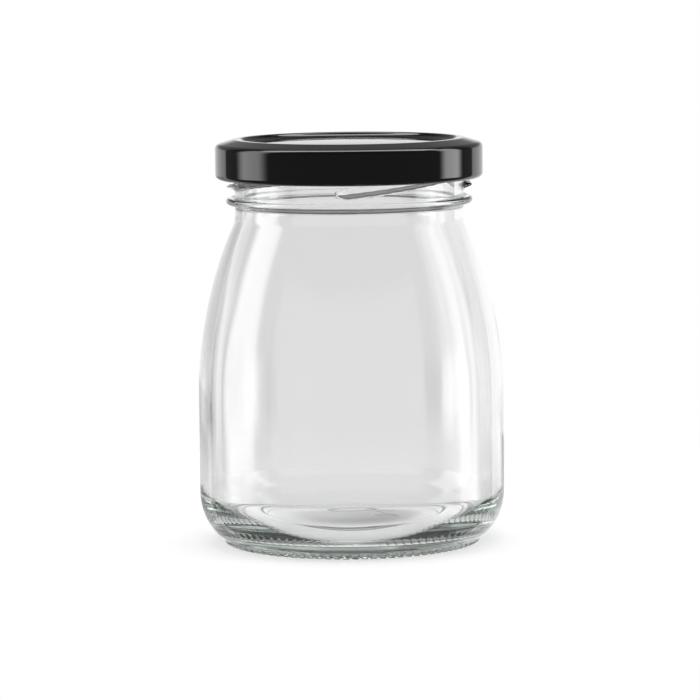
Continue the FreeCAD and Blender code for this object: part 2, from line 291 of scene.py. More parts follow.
# %% The turning tree: the free inside of blown glass
cosine = add(turning, "ShaderNodeMath", {0: angle}, operation="COSINE")
sine = add(turning, "ShaderNodeMath", {0: angle}, operation="SINE")
east = add(turning, "ShaderNodeMath", {0: radius, 1: cosine}, operation="MULTIPLY")
north = add(turning, "ShaderNodeMath", {0: radius, 1: sine}, operation="MULTIPLY")
STRETCH = 0.45
drawn = add(turning, "ShaderNodeMath", {0: height, 1: STRETCH}, operation="MULTIPLY")
spot = add(turning, "ShaderNodeCombineXYZ", {"X": east, "Y": north, "Z": drawn})
density = add(turning, "ShaderNodeMath", {0: 1.0, 1: size["Wave Size"]}, operation="DIVIDE")
noise = add(turning, "ShaderNodeTexNoise", {"Vector": spot, "W": size["Wave Seed"],
                                            "Scale": density, "Detail": 1.0},
            noise_dimensions="4D")
wave = add(turning, "ShaderNodeMapRange", {"Value": noise, "To Min": -1.0})
wave = add(turning, "ShaderNodeMath", {0: wave, 1: size["Wave Height"]}, operation="MULTIPLY")
wave = add(turning, "ShaderNodeMath", {0: wave, 1: wave_share}, operation="MULTIPLY")

# %% [markdown]
# Moulded marks are strokes drawn as a wire. A grid point near a stroke is pushed down by a
# rounded height, which is how an engraved mould leaves them on the glass.

# %% The turning tree: moulded marks under the base
flat_spot = add(turning, "ShaderNodeCombineXYZ", {"X": east, "Y": north, "Z": height})
marks = add(turning, "GeometryNodeObjectInfo", {"Object": size["Marks"]})
nearest = add(turning, "GeometryNodeProximity", {0: marks.outputs["Geometry"],
                                                 "Sample Position": flat_spot},
              target_element="EDGES")
stroke = add(turning, "ShaderNodeMapRange", {"Value": nearest.outputs["Distance"],
                                             "From Max": size["Mark Width"],
                                             "To Min": 1.0, "To Max": 0.0},
             interpolation_type="SMOOTHSTEP")
found = add(turning, "ShaderNodeMath", {0: stroke, 1: nearest.outputs["Is Valid"]},
            operation="MULTIPLY")
press = add(turning, "ShaderNodeMath", {0: found, 1: size["Mark Height"]}, operation="MULTIPLY")

# %% The turning tree: put each point in its place and close the skin
reach_out = radius
for part in (ridge, cut_out, wave):
    reach_out = add(turning, "ShaderNodeMath", {0: reach_out, 1: part}, operation="ADD")
x = add(turning, "ShaderNodeMath", {0: reach_out, 1: cosine}, operation="MULTIPLY")
y = add(turning, "ShaderNodeMath", {0: reach_out, 1: sine}, operation="MULTIPLY")
z = add(turning, "ShaderNodeMath", {0: height, 1: cut_up}, operation="ADD")
z = add(turning, "ShaderNodeMath", {0: z, 1: press}, operation="SUBTRACT")
target = add(turning, "ShaderNodeCombineXYZ", {"X": x, "Y": y, "Z": z})
kept = add(turning, "GeometryNodeStoreNamedAttribute",
           {"Geometry": grid, "Name": "lining", "Value": lining_share}, data_type="FLOAT")
shaped = add(turning, "GeometryNodeSetPosition", {"Geometry": kept, "Position": target})
SEAM = 1e-6
closed = add(turning, "GeometryNodeMergeByDistance", {"Geometry": shaped, "Distance": SEAM})
smooth = add(turning, "GeometryNodeSetShadeSmooth", {"Geometry": closed})
whole = add(turning, "GeometryNodeRealizeInstances", {0: smooth})
first = add(turning, "GeometryNodeSetMaterial", {"Geometry": whole, "Material": size["Material"]})
lined = add(turning, "GeometryNodeInputNamedAttribute", {"Name": "lining"}, data_type="FLOAT")
lined = add(turning, "ShaderNodeMath", {0: lined, 1: 0.5}, operation="GREATER_THAN")
second = add(turning, "GeometryNodeSetMaterial",
             {"Geometry": first, "Selection": lined, "Material": size["Lining"]})
add(turning, "NodeGroupOutput", {0: second})
print("turning tree has", len(turning.nodes), "nodes")

# %% Run the tree on an outline and keep the plain mesh
def turned(name, outline, sizes):
    """The piece that an outline and the tree's named sizes make, as a plain mesh object."""
    source = outline.as_object(name + ".outline")
    modifier = source.modifiers.new("turning", "NODES")
    modifier.node_group = turning
    for title, value in sizes.items():
        modifier[identifiers[title]] = value
    bpy.context.view_layer.update()
    evaluated = source.evaluated_get(bpy.context.evaluated_depsgraph_get())
    mesh = bpy.data.meshes.new_from_object(evaluated)
    mesh.name = name
    bpy.data.objects.remove(source)
    piece = bpy.data.objects.new(name, mesh)
    bpy.context.scene.collection.objects.link(piece)
    triangles = sum(len(face.vertices) - 2 for face in mesh.polygons)
    print(name, len(mesh.vertices), "points", triangles, "triangles")
    skin = bmesh.new()
    skin.from_mesh(mesh)
    volume = skin.calc_volume(signed=True) / MM ** 3 / 1000
    skin.free()
    print(name, round(volume, 2), "cubic centimetres, above zero where faces point outwards")
    return piece


# %% [markdown]
# ## The glass
# Clear soda-lime container glass is almost colourless. Light that travels far inside it, as in
# the thick base, comes out faintly grey-green, and that is all the colour there is. A Volume
# Absorption node gives it, because it depends on the thickness, where a tinted surface
# wouldn't. The surface is fire-polished, so it is smooth apart from a slight orange peel, a
# broad and very low swell of the wall, and the faint haze that handling leaves. The swell
# fades out above the base and below the neck, where the mould holds the glass true. Lamps
# pass through by way of a transparent shader for shadow rays alone, or the jar would throw a
# shadow as dark as the lid's.

# %% Soda-lime glass, pressed and blown
def soda_lime_glass():
    material = bpy.data.materials.new("soda_lime_glass_blown")
    material.use_nodes = True
    tree = material.node_tree
    tree.nodes.clear()
    where = add(tree, "ShaderNodeTexCoord").outputs["Object"]
    PEEL = 6.0                  # mm, the width of one ripple of the fire polish
    PEEL_HEIGHT = 0.004         # mm
    SWELL = 36.0                # mm, a swell that the cooling mould leaves
    SWELL_HEIGHT = 0.25         # mm
    SWELL_SEED = 3.0
    HAZE = 22.0                 # mm, the size of a faint smear
    FREE_FROM = (20.0, 50.0)    # mm above the table, where the swell sets in
    FREE_TO = (148.0, 165.0)    # mm, where it dies away again
    ripples = add(tree, "ShaderNodeTexNoise", {"Vector": where, "Scale": 1 / (PEEL * MM),
                                               "Detail": 2.0})
    swell = add(tree, "ShaderNodeTexNoise", {"Vector": where, "W": SWELL_SEED,
                                             "Scale": 1 / (SWELL * MM), "Detail": 0.0},
                noise_dimensions="4D")
    swell = add(tree, "ShaderNodeMath", {0: swell, 1: 0.5}, operation="SUBTRACT")
    level = add(tree, "ShaderNodeSeparateXYZ", {0: where}).outputs["Z"]
    low_fade = add(tree, "ShaderNodeMapRange", {"Value": level, "From Min": FREE_FROM[0] * MM,
                                                "From Max": FREE_FROM[1] * MM},
                   interpolation_type="SMOOTHSTEP")
    high_fade = add(tree, "ShaderNodeMapRange", {"Value": level, "From Min": FREE_TO[0] * MM,
                                                 "From Max": FREE_TO[1] * MM,
                                                 "To Min": 1.0, "To Max": 0.0},
                    interpolation_type="SMOOTHSTEP")
    free = add(tree, "ShaderNodeMath", {0: low_fade, 1: high_fade}, operation="MULTIPLY")
    swell = add(tree, "ShaderNodeMath", {0: swell, 1: free}, operation="MULTIPLY")
    swell = add(tree, "ShaderNodeBump", {"Height": swell, "Strength": 1.0,
                                         "Distance": SWELL_HEIGHT * MM})
    bump = add(tree, "ShaderNodeBump", {"Height": ripples, "Strength": 1.0,
                                        "Distance": PEEL_HEIGHT * MM, "Normal": swell})
    smears = add(tree, "ShaderNodeTexNoise", {"Vector": where, "Scale": 1 / (HAZE * MM),
                                              "Detail": 4.0})
    haze = add(tree, "ShaderNodeMapRange", {"Value": smears, "From Min": 0.45, "From Max": 0.8,
                                            "To Min": 0.0, "To Max": 0.03})
    glass = add(tree, "ShaderNodeBsdfPrincipled", {
        "Base Color": linear("FFFFFF"), "Roughness": haze, "IOR": 1.52,
        "Transmission Weight": 1.0, "Normal": bump})
    clear = add(tree, "ShaderNodeBsdfTransparent", {"Color": linear("EDF0ED")})
    is_shadow = add(tree, "ShaderNodeLightPath").outputs["Is Shadow Ray"]
    skin = add(tree, "ShaderNodeMixShader", {0: is_shadow, 1: glass, 2: clear})
    depth = add(tree, "ShaderNodeVolumeAbsorption", {"Color": linear("C4CFC8"), "Density": 12.0})
    add(tree, "ShaderNodeOutputMaterial", {"Surface": skin, "Volume": depth})
    return material


glass = soda_lime_glass()

# %% [markdown]
# ## The jar's outline
# From the middle of the base outwards: the domed push-up, a step, the ledge, the knurled ring,
# the heel, the straight wall, the long shoulder arc, the neck with its bead and threads, the
# rim, and then down the inside to the floor. One chain gives both faces of the wall.

# %% The jar's sizes, in millimetres
BODY_WALL = 3.4
SHOULDER_RADIUS = 208.0
NECK_FILLET = 7.0
NECK_RADIUS = 53.6
NECK_WALL = 3.6
RIM_ROUND = 1.5
BEAD_DROP = 10.2
BEAD_PROJECTION = 4.2
BEAD_TIP_RADIUS = 1.6
BEAD_UPPER_FILLET = 1.0
BEAD_LOWER_FILLET = 2.0
NECK_STRAIGHT = 7.0
HEEL_RADIUS = 28.0
FOOT_INSET = 11.2
FOOT_ROUND = 1.6
RING_WIDTH = 4.0
RING_INNER_ROUND = 1.5
LEDGE_WIDTH = 9.4
LEDGE_RISE = 0.7
STEP_WIDTH = 1.2
STEP_RISE = 0.8
PUSH_UP_RISE = 2.0
FLOOR_HEIGHT = 8.2
FLOOR_RISE = 3.5
INNER_HEEL_START = 27.0
INNER_HEEL_RADIUS = 18.0
INNER_HEEL_LEAN = 33.0
LOWER_HEEL_RADIUS = 37.0
LOWER_HEEL_LEAN = 48.0
FLOOR_ROUND = 3.6
SEAM_HEIGHT = 5.2
SEAM_WIDTH = 0.5
SEAM_LIFT = 0.06
bead_height = lid_bottom - BEAD_DROP
mouth_radius = NECK_RADIUS - NECK_WALL
neck_foot = bead_height - NECK_STRAIGHT


def shoulder_rise(neck, fillet, shoulder):
    across = neck + fillet - (body_radius - SHOULDER_RADIUS)
    return math.sqrt((shoulder + fillet) ** 2 - across ** 2)


shoulder_height = neck_foot - shoulder_rise(NECK_RADIUS, NECK_FILLET, SHOULDER_RADIUS)
print("the shoulder begins at", round(shoulder_height, 1), "mm")

# %% The outline of base and heel
def dome(outline, edge_radius, edge_height, rise, stops, **relief):
    """A shallow dome through the given radii, from the axis out or from the edge in."""
    for across in stops:
        outline.put(across, edge_height + rise * (1 - (across / edge_radius) ** 2), **relief)


foot_radius = body_radius - FOOT_INSET - FOOT_ROUND
ring_inner = foot_radius - RING_WIDTH
ledge_outer = ring_inner - RING_INNER_ROUND
ledge_inner = ledge_outer - LEDGE_WIDTH
ledge_top = RING_INNER_ROUND + LEDGE_RISE
push_up_radius = ledge_inner - STEP_WIDTH
push_up_edge = ledge_top + STEP_RISE
tuck = HEEL_RADIUS - FOOT_INSET
drop = math.sqrt(HEEL_RADIUS ** 2 - tuck ** 2)
heel_centre = (body_radius - HEEL_RADIUS, FOOT_ROUND + drop)
MARK_ZONE = (9.2, 30.2)     # radii between which the rows are close enough for the marks
MARK_STEP = 0.75
HEEL_FADE = ((1.2, 0.85), (1.2, 0.6), (1.2, 0.25), (0.8, 0.0))  # degrees, and a knurl's share
SEAM_BEND = ((-0.5, 0.75), (0.0, 1.0), (0.5, 0.75))             # across the seam, and its lift

jar = Outline(0, push_up_edge + PUSH_UP_RISE)
mark_stops = [MARK_ZONE[0] + MARK_STEP * step
              for step in range(int((MARK_ZONE[1] - MARK_ZONE[0]) / MARK_STEP) + 1)]
outer_stops = [35, 40, push_up_radius - 0.6, push_up_radius]
dome(jar, push_up_radius, push_up_edge, PUSH_UP_RISE, [3, 7] + mark_stops + outer_stops)
jar.line(ledge_inner - 0.25, ledge_top + 0.1, 3)
jar.line(ledge_inner + 0.3, ledge_top - 0.02, 1)
jar.line(ledge_outer - 0.4, RING_INNER_ROUND + 0.03, 4)
jar.line(ledge_outer, RING_INNER_ROUND, 1)
jar.arc((ring_inner, RING_INNER_ROUND), RING_INNER_ROUND, 180, 270, 5, notch=(0.3, 0.95))
jar.line(foot_radius, 0, 4, notch=(0.0, 1.0))
jar.arc((foot_radius, FOOT_ROUND), FOOT_ROUND, -90, -53, 3, notch=(-0.4, 0.9))
jar.arc((foot_radius, FOOT_ROUND), FOOT_ROUND, -53, 0, 4, notch=(-0.9, 0.4))
heel_low = -math.degrees(math.atan2(drop, tuck))
heel_stop = heel_low
for step, share in HEEL_FADE:
    jar.arc(heel_centre, HEEL_RADIUS, heel_stop, heel_stop + step, 1,
            notch=(-share * 0.8, share * 0.6))
    heel_stop += step
seam = -math.degrees(math.asin((heel_centre[1] - SEAM_HEIGHT) / HEEL_RADIUS))
half = math.degrees(SEAM_WIDTH / 2 / HEEL_RADIUS)
jar.arc(heel_centre, HEEL_RADIUS, heel_stop, seam - half, 3)
for share, lift in SEAM_BEND:
    jar.put(*polar(heel_centre, HEEL_RADIUS + lift * SEAM_LIFT, seam + share * half))
jar.put(*polar(heel_centre, HEEL_RADIUS, seam + half))
jar.arc(heel_centre, HEEL_RADIUS, seam + half, 0, 10)
print("the base has", len(jar.points), "points")

# %% The outline of the outer wall, the neck and the bead
def wall(outline, offset, neck, upwards, steps, **relief):
    """Shoulder arc and neck fillet on one face of the wall, offset inwards."""
    shoulder = SHOULDER_RADIUS - offset
    fillet = NECK_FILLET + offset
    rise = shoulder_rise(neck, fillet, shoulder)
    lean = math.degrees(math.asin(rise / (shoulder + fillet)))
    shoulder_centre = (body_radius - SHOULDER_RADIUS, shoulder_height)
    fillet_centre = (neck + fillet, shoulder_height + rise)
    if upwards:
        outline.arc(shoulder_centre, shoulder, 0, lean, steps[0], **relief)
        outline.arc(fillet_centre, fillet, 180 + lean, 180, steps[1], **relief)
    else:
        outline.arc(fillet_centre, fillet, 180, 180 + lean, steps[1], **relief)
        outline.arc(shoulder_centre, shoulder, lean, 0, steps[0], **relief)


def bead_side(side, fillet):
    """Where a root fillet of the bead has its centre, and how far it turns."""
    across = fillet - BEAD_PROJECTION + BEAD_TIP_RADIUS
    along = math.sqrt((BEAD_TIP_RADIUS + fillet) ** 2 - across ** 2)
    lean = math.degrees(math.atan2(along, across))
    return (NECK_RADIUS + fillet, bead_height + side * along), side * lean


low_centre, low_lean = bead_side(-1, BEAD_LOWER_FILLET)
high_centre, high_lean = bead_side(1, BEAD_UPPER_FILLET)
bead_centre = (NECK_RADIUS + BEAD_PROJECTION - BEAD_TIP_RADIUS, bead_height)
jar.line(body_radius, shoulder_height, 4)
wall(jar, 0, NECK_RADIUS, True, (14, 6))
jar.line(NECK_RADIUS, low_centre[1], 2)
jar.arc(low_centre, BEAD_LOWER_FILLET, 180, 180 + low_lean, 5)
jar.arc(bead_centre, BEAD_TIP_RADIUS, low_lean, high_lean, 9)
jar.arc(high_centre, BEAD_UPPER_FILLET, 180 + high_lean, 180, 4)
FINISH_STEPS = 34
jar.line(NECK_RADIUS, rim_height - RIM_ROUND, FINISH_STEPS, ridge=1.0)

# %% The outline of the rim and the inside
jar.arc((NECK_RADIUS - RIM_ROUND, rim_height - RIM_ROUND), RIM_ROUND, 0, 90, 4)
jar.arc((mouth_radius + RIM_ROUND, rim_height - RIM_ROUND), RIM_ROUND, 90, 180, 4)
inner_radius = body_radius - BODY_WALL
inner_rise = shoulder_rise(mouth_radius, NECK_FILLET + BODY_WALL, SHOULDER_RADIUS - BODY_WALL)
inner_heel = (inner_radius - INNER_HEEL_RADIUS, INNER_HEEL_START)
heel_change = polar(inner_heel, INNER_HEEL_RADIUS, -INNER_HEEL_LEAN)
lower_heel = polar(heel_change, LOWER_HEEL_RADIUS, 180 - INNER_HEEL_LEAN)
lean_top = polar(lower_heel, LOWER_HEEL_RADIUS, -LOWER_HEEL_LEAN)
round_reach = polar((0, FLOOR_ROUND), FLOOR_ROUND, -LOWER_HEEL_LEAN)
lean_low_height = FLOOR_HEIGHT + round_reach[1]
closing = (lean_top[1] - lean_low_height) * math.tan(math.radians(LOWER_HEEL_LEAN))
lean_low = (lean_top[0] - closing, lean_low_height)
floor_edge = lean_low[0] - round_reach[0]
jar.line(mouth_radius, shoulder_height + inner_rise + 8, 4, wave=0.3)
jar.line(mouth_radius, shoulder_height + inner_rise, 2, wave=0.6)
wall(jar, BODY_WALL, mouth_radius, False, (16, 4), wave=1.0)
jar.line(inner_radius, inner_heel[1], 6, wave=1.0)
HEEL_STEPS = 8
HEEL_WAVE = 0.2             # share of the waves that is left where the thick base begins
for step in range(HEEL_STEPS):
    start, end = (-INNER_HEEL_LEAN * part / HEEL_STEPS for part in (step, step + 1))
    share = 1 - (1 - HEEL_WAVE) * (step + 1) / HEEL_STEPS
    jar.arc(inner_heel, INNER_HEEL_RADIUS, start, end, 1, wave=share)
jar.arc(lower_heel, LOWER_HEEL_RADIUS, -INNER_HEEL_LEAN, -LOWER_HEEL_LEAN, 6, wave=HEEL_WAVE)
jar.line(*lean_low, 1)
jar.arc((floor_edge, FLOOR_HEIGHT + FLOOR_ROUND), FLOOR_ROUND, -LOWER_HEEL_LEAN, -90, 5)
dome(jar, floor_edge, FLOOR_HEIGHT, FLOOR_RISE, [50, 44, 36, 28, 20, 12, 5, 0])
print("the inside floor reaches out to", round(floor_edge, 1), "mm")
print("the whole outline has", len(jar.points), "points")

# %% [markdown]
# ## Marks under the base
# Jars carry a few moulded marks in the middle of the push-up. These are a plain ring and one
# plain digit, as a mould number is. It reads the right way round from below, so it is mirrored
# from above. Both are drawn as wires.

# %% The marks as wires
def marks_wire():
    RING_RADIUS = 10.5
    RING_SIDES = 48
    RING_LIFT = 0.9             # mm, to the dome's own height there
    DIGIT_LIFT = 0.4            # mm
    DIGIT_PLACE = (15.5, -14.0)
    DIGIT = ((3.8, 5.0), (2.0, 7.5), (-2.0, 7.5), (-3.8, 5.0), (-2.5, 1.5), (3.8, -7.5),
             (-3.8, -7.5))
    level = push_up_edge + PUSH_UP_RISE / 2
    points = []
    edges = []
    for side in range(RING_SIDES):
        turn = math.tau * side / RING_SIDES
        points.append((*polar((0, 0), RING_RADIUS, math.degrees(turn)), level + RING_LIFT))
        edges.append((side, (side + 1) % RING_SIDES))
    for across, along in DIGIT:
        points.append((DIGIT_PLACE[0] + across, DIGIT_PLACE[1] + along, level + DIGIT_LIFT))
    first = RING_SIDES
    edges.extend((first + step, first + step + 1) for step in range(len(DIGIT) - 1))
    mesh = bpy.data.meshes.new("marks")
    mesh.from_pydata([(px * MM, py * MM, pz * MM) for px, py, pz in points], edges, [])
    made = bpy.data.objects.new("marks", mesh)
    bpy.context.scene.collection.objects.link(made)
    return made


marks_object = marks_wire()

# %% Turn the jar
KNURLS = 88
jar_sizes = {
    "Marks": marks_object,
    "Steps Around": KNURLS * 5,
    "Ridge Starts": 4,
    "Ridge First Angle": math.radians(-96.6),
    "Ridge Span": math.radians(84),
    "Ridge Lead": 39.0 * MM,
    "Ridge Height": (lid_bottom - 4.2) * MM,
    "Ridge Projection": 3.9 * MM,
    "Ridge Upper Reach": 1.2 * MM,
    "Ridge Lower Reach": 2.4 * MM,
    "Ridge Runout": 0.08,
    "Notch Count": KNURLS,
    "Notch Depth": 0.9 * MM,
    "Notch Slant": 0.5 / MM,
    "Notch Crowding": 0.63,
    "Wave Height": 0.6 * MM,
    "Wave Size": 40.0 * MM,
    "Wave Seed": 2.0,
    "Mark Height": 1.2 * MM,
    "Mark Width": 0.9 * MM,
    "Material": glass,
    "Lining": glass,
}
glass_jar = turned("glass_jar_blown", jar, jar_sizes)
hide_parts("glass_jar")
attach(glass_jar, "root")

# %% [markdown]
# ## The lid's finishes
# The lid is tinplate: thin steel with a skin of tin, roller-coated with black lacquer in the
# flat sheet and stoved before it is pressed. That gives a deep, wet-looking black whose
# reflections are sharp, with a very fine orange peel. Inside it has a pale enamel that food
# doesn't attack, and a ring of soft sealing compound lies in the channel over the jar's rim.

# %% Black lacquer on tinplate
def black_lacquer():
    material = bpy.data.materials.new("black_stoved_lacquer_on_tinplate")
    material.use_nodes = True
    tree = material.node_tree
    tree.nodes.clear()
    where = add(tree, "ShaderNodeTexCoord").outputs["Object"]
    PEEL = 1.6                  # mm, a ripple of the stoved lacquer
    PEEL_HEIGHT = 0.0016        # mm
    RUBBING = 9.0               # mm, size of the patches where handling dulled it
    ripples = add(tree, "ShaderNodeTexNoise", {"Vector": where, "Scale": 1 / (PEEL * MM),
                                               "Detail": 2.0})
    bump = add(tree, "ShaderNodeBump", {"Height": ripples, "Strength": 1.0,
                                        "Distance": PEEL_HEIGHT * MM})
    rubbed = add(tree, "ShaderNodeTexNoise", {"Vector": where, "Scale": 1 / (RUBBING * MM),
                                              "Detail": 5.0})
    dull = add(tree, "ShaderNodeMapRange", {"Value": rubbed, "From Min": 0.35, "From Max": 0.75,
                                            "To Min": 0.03, "To Max": 0.09})
    tone = add(tree, "ShaderNodeMix", {"Factor": rubbed, "A": linear("0E0E10"),
                                       "B": linear("141417")}, data_type="RGBA")
    lacquer = add(tree, "ShaderNodeBsdfPrincipled", {
        "Base Color": tone.outputs["Result"], "Roughness": dull, "IOR": 1.52, "Normal": bump})
    add(tree, "ShaderNodeOutputMaterial", {"Surface": lacquer})
    return material


lacquer = black_lacquer()

# %% Pale enamel and sealing compound
def inner_enamel():
    material = bpy.data.materials.new("pale_enamel_and_sealing_compound")
    material.use_nodes = True
    tree = material.node_tree
    tree.nodes.clear()
    where = add(tree, "ShaderNodeTexCoord").outputs["Object"]
    GRAIN = 0.8                 # mm, the dull grain of the cast compound
    GRAIN_HEIGHT = 0.02         # mm
    CLOUD = 12.0                # mm, uneven film thickness
    grains = add(tree, "ShaderNodeTexNoise", {"Vector": where, "Scale": 1 / (GRAIN * MM),
                                              "Detail": 3.0})
    bump = add(tree, "ShaderNodeBump", {"Height": grains, "Distance": GRAIN_HEIGHT * MM})
    clouds = add(tree, "ShaderNodeTexNoise", {"Vector": where, "Scale": 1 / (CLOUD * MM),
                                              "Detail": 3.0})
    tone = add(tree, "ShaderNodeMix", {"Factor": clouds, "A": linear("B4B4B3"),
                                       "B": linear("CBCBCA")}, data_type="RGBA")
    film = add(tree, "ShaderNodeBsdfPrincipled", {
        "Base Color": tone.outputs["Result"], "Roughness": 0.42, "IOR": 1.5, "Normal": bump})
    add(tree, "ShaderNodeOutputMaterial", {"Surface": film})
    return material


enamel = inner_enamel()

# %% [markdown]
# ## The lid's outline
# The sheet is 0.3 mm thick. Its outline runs over the top, down the skirt and round the curl,
# then comes back 0.3 mm further in. Where it passes the channel over the jar's rim it follows
# the face of the sealing compound instead. The cut edge of the sheet ends inside the curl,
# where it can't scratch a hand or rust in sight. The jar's chain starts under the base, and
# this one starts on top, so it is turned round at the end: otherwise the faces of the lid
# would point inwards.

# %% The lid's sizes, in millimetres
SHEET = 0.3
CURL_RADIUS = 2.4
CURL_ANGLE = 300.0
CREST_SETBACK = 1.3
CREST_WIDTH = 2.0
CREST_ROUND = 4.0
CREST_SLOPE = 16.0
LID_SHOULDER_RADIUS = 2.6
RECESS_UPPER_ROUND = 1.2
RECESS_LOWER_ROUND = 3.2
RECESS_ANGLE = 60.0
PANEL_RISE = 0.8
SEAL_INSET = 0.2
LUG_THICKNESS = 1.4
LUG_LIFT = 0.3
LUG_REACH = 2.6

crest_inner = mouth_radius + CREST_SETBACK
crest_outer = crest_inner + CREST_WIDTH
crest_centre = (crest_outer, lid_top - CREST_ROUND)
slope_normal = 90 - CREST_SLOPE
slope_top = polar(crest_centre, CREST_ROUND, slope_normal)
shoulder_reach = polar((lid_radius - LID_SHOULDER_RADIUS, 0), LID_SHOULDER_RADIUS, slope_normal)
fall = (shoulder_reach[0] - slope_top[0]) * math.tan(math.radians(CREST_SLOPE))
shoulder_low = slope_top[1] - fall - shoulder_reach[1]
shoulder_centre = (lid_radius - LID_SHOULDER_RADIUS, shoulder_low)
upper_centre = (crest_inner, lid_top - RECESS_UPPER_ROUND)
lean = 90 + RECESS_ANGLE
lower_centre = polar(upper_centre, RECESS_UPPER_ROUND + RECESS_LOWER_ROUND, lean)
panel_edge = lower_centre[0]
panel_height = lower_centre[1] - RECESS_LOWER_ROUND
curl_centre = (lid_radius - CURL_RADIUS, lid_bottom + CURL_RADIUS)
print("panel out to", round(panel_edge, 2), "and crest out to", round(crest_outer, 2), "mm")

# %% The outline of the lid
lid_outline = Outline(0, panel_height + PANEL_RISE)
dome(lid_outline, panel_edge, panel_height, PANEL_RISE, [4, 12, 20, 28, 36, 43, panel_edge])
lid_outline.arc(lower_centre, RECESS_LOWER_ROUND, -90, lean - 180, 12)
lid_outline.arc(upper_centre, RECESS_UPPER_ROUND, lean, 90, 9)
lid_outline.line(crest_outer, lid_top, 2)
lid_outline.arc(crest_centre, CREST_ROUND, 90, slope_normal, 6)
lid_outline.line(*polar(shoulder_centre, LID_SHOULDER_RADIUS, slope_normal), 3)
lid_outline.arc(shoulder_centre, LID_SHOULDER_RADIUS, slope_normal, 0, 16)
lid_outline.line(lid_radius, curl_centre[1], 8)
lid_outline.arc(curl_centre, CURL_RADIUS, 0, -60, 6)
lid_outline.arc(curl_centre, CURL_RADIUS, -60, -190, 18, ridge=1.0)
lid_outline.arc(curl_centre, CURL_RADIUS, -190, -CURL_ANGLE, 10)
lid_outline.arc(curl_centre, CURL_RADIUS - SHEET, -CURL_ANGLE, 0, 22, lining=1.0)
lid_outline.line(lid_radius - SHEET, shoulder_low, 4, lining=1.0)
lid_outline.arc(shoulder_centre, LID_SHOULDER_RADIUS - SHEET, 0, slope_normal, 8, lining=1.0)
lid_outline.line(*polar(crest_centre, CREST_ROUND - SHEET, slope_normal), 2, lining=1.0)
seal_outer = slope_top[0]
lid_outline.line(seal_outer, rim_height, 2, lining=1.0)
lid_outline.line(crest_inner + SEAL_INSET, rim_height, 4, lining=1.0)
lid_outline.line(crest_inner + SEAL_INSET, lid_top - SHEET, 2, lining=1.0)
lid_outline.arc(upper_centre, RECESS_UPPER_ROUND - SHEET, 90, lean, 5, lining=1.0)
lid_outline.arc(lower_centre, RECESS_LOWER_ROUND + SHEET, lean - 180, -90, 7, lining=1.0)
dome(lid_outline, panel_edge, panel_height - SHEET, PANEL_RISE, [40, 28, 14, 0], lining=1.0)
lid_outline.turn_round()
print("the lid's outline has", len(lid_outline.points), "points")

# %% Turn the lid
lid_sizes = {
    "Steps Around": 360,
    "Ridge Starts": 4,
    "Ridge First Angle": math.radians(-67.0),
    "Ridge Span": math.radians(12),
    "Ridge Lead": 0.0,
    "Ridge Height": (lid_bottom + LUG_LIFT + LUG_THICKNESS / 2) * MM,
    "Ridge Projection": -LUG_REACH * MM,
    "Ridge Upper Reach": LUG_THICKNESS * MM,
    "Ridge Lower Reach": LUG_THICKNESS * MM,
    "Ridge Runout": 0.2,
    "Notch Count": 1,
    "Notch Depth": 0.0,
    "Notch Slant": 0.0,
    "Notch Crowding": 0.0,
    "Wave Height": 0.0,
    "Wave Size": 40.0 * MM,
    "Wave Seed": 3.0,
    "Mark Height": 0.0,
    "Mark Width": 1.0 * MM,
    "Material": lacquer,
    "Lining": enamel,
}
lid = turned("lid_lacquered", lid_outline, lid_sizes)
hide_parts("lid")
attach(lid, "root")
bpy.data.objects.remove(marks_object)

# %% [markdown]
# ## The room
# Glass and gloss lacquer have hardly any look of their own: they show the room. So the room is
# drawn in the world shader as a function of direction: a bearing around the jar, 0 towards the
# viewer and 180 behind, and a rise above the table, both in degrees. A pale backdrop stands
# behind the jar, a tall strip light on each side gives the glass and the lid their bright and
# dark bands, a lamp overhead draws the thin lines on the lid's edges, and the front of the
# room is dim.

# %% The room: directions and soft-edged panels
world = bpy.data.worlds.new("room")
bpy.context.scene.world = world
world.use_nodes = True
sky = world.node_tree
sky.nodes.clear()
toward = add(sky, "ShaderNodeTexCoord").outputs["Generated"]
toward = add(sky, "ShaderNodeSeparateXYZ", {0: toward}).outputs
back = add(sky, "ShaderNodeMath", {0: toward["Y"], 1: -1.0}, operation="MULTIPLY")
bearing = add(sky, "ShaderNodeMath", {0: toward["X"], 1: back}, operation="ARCTAN2")
bearing = add(sky, "ShaderNodeMath", {0: bearing}, operation="DEGREES")
around_back = add(sky, "ShaderNodeMath", {0: bearing}, operation="ABSOLUTE")
rise = add(sky, "ShaderNodeMath", {0: toward["Z"]}, operation="ARCSINE")
rise = add(sky, "ShaderNodeMath", {0: rise}, operation="DEGREES")
PAST_BACK = 400             # a bearing that nothing reaches
PAST_BELOW = -200           # a rise that nothing reaches


def between(value, low, high, edge):
    """One inside the range from low to high, falling to nothing over a soft edge."""
    enter = add(sky, "ShaderNodeMapRange", {"Value": value, "From Min": low - edge,
                                            "From Max": low + edge},
                interpolation_type="SMOOTHSTEP")
    leave = add(sky, "ShaderNodeMapRange", {"Value": value, "From Min": high - edge,
                                            "From Max": high + edge},
                interpolation_type="SMOOTHSTEP")
    leave = add(sky, "ShaderNodeMath", {0: 1.0, 1: leave}, operation="SUBTRACT")
    return add(sky, "ShaderNodeMath", {0: enter, 1: leave}, operation="MULTIPLY")


def combined(parts, operation="MULTIPLY"):
    """The parts taken together: what they have in common, or with ADD their sum."""
    result = parts[0]
    for part in parts[1:]:
        result = add(sky, "ShaderNodeMath", {0: result, 1: part}, operation=operation)
    return result


def panel(bearings, rises, radiance, edges=(1.0, 1.0)):
    """A bright panel in the room, as seen from the jar."""
    across = between(bearing, bearings[0], bearings[1], edges[0])
    along = between(rise, rises[0], rises[1], edges[1])
    return combined([across, along, radiance])


